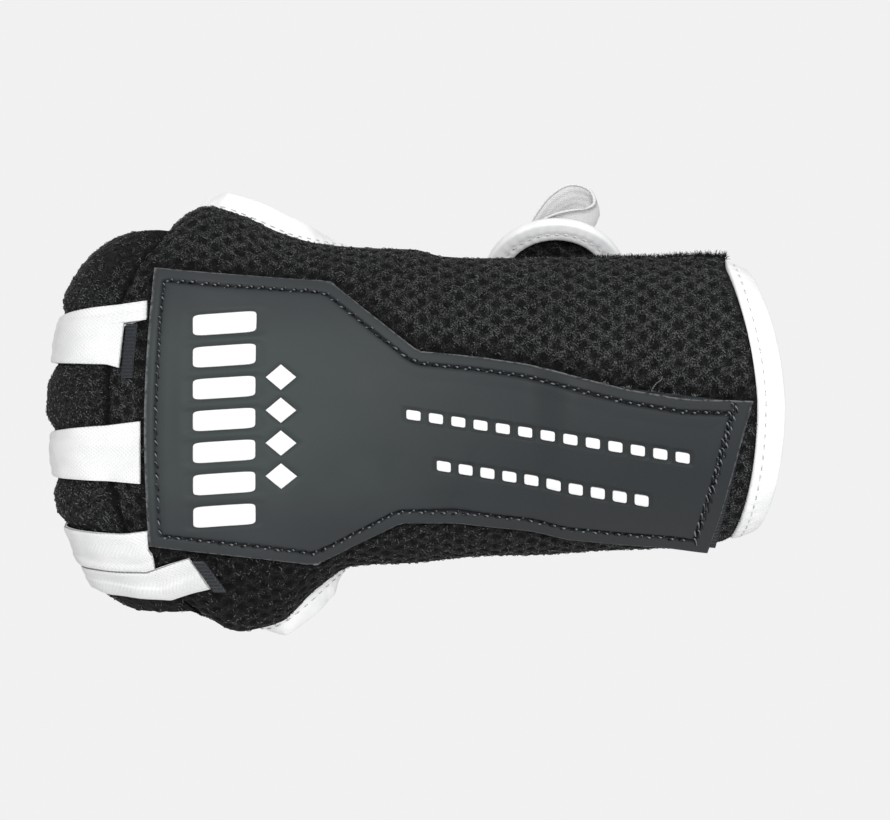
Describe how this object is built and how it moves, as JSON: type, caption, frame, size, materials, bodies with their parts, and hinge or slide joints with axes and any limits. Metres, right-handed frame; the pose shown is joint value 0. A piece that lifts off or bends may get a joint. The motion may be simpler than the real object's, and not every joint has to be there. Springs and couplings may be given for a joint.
{
  "type": "glove liner",
  "caption": "Padded open-palm inner glove liner with knuckle roll, rubber back patch, finger tapes and a wrist closure.",
  "frame": {"origin": "middle of the wrist opening, where the wrist goes in", "axes": "+X out of the wrist opening toward the forearm, +Z to the thumb side, and the back of the hand faces -Y"},
  "size_m": [0.1734, 0.0599, 0.1089],
  "materials": {
    "spacer_mesh": "matte",
    "pad_mesh": "matte",
    "patch_rubber": "satin",
    "dark_twill": "matte",
    "white_tape": "matte",
    "white_binding": "satin",
    "grey_tape": "matte"
  },
  "bodies": {
    "root": {"back_panel": "spacer_mesh", "finger_band": "spacer_mesh", "palm_strap": "spacer_mesh", "knuckle_pad": "pad_mesh", "back_patch": "patch_rubber", "patch_backing": "dark_twill", "finger_tape_1": "white_tape", "finger_tape_2": "white_tape", "finger_tape_3": "white_tape", "finger_tape_4": "white_tape", "anchor_tab_upper": "dark_twill", "anchor_tab_lower": "dark_twill", "wrist_binding": "white_binding", "palm_binding": "white_binding", "closure_tab": "spacer_mesh", "tab_binding": "white_binding", "pull_loop": "grey_tape"}
  },
  "joints": []
}
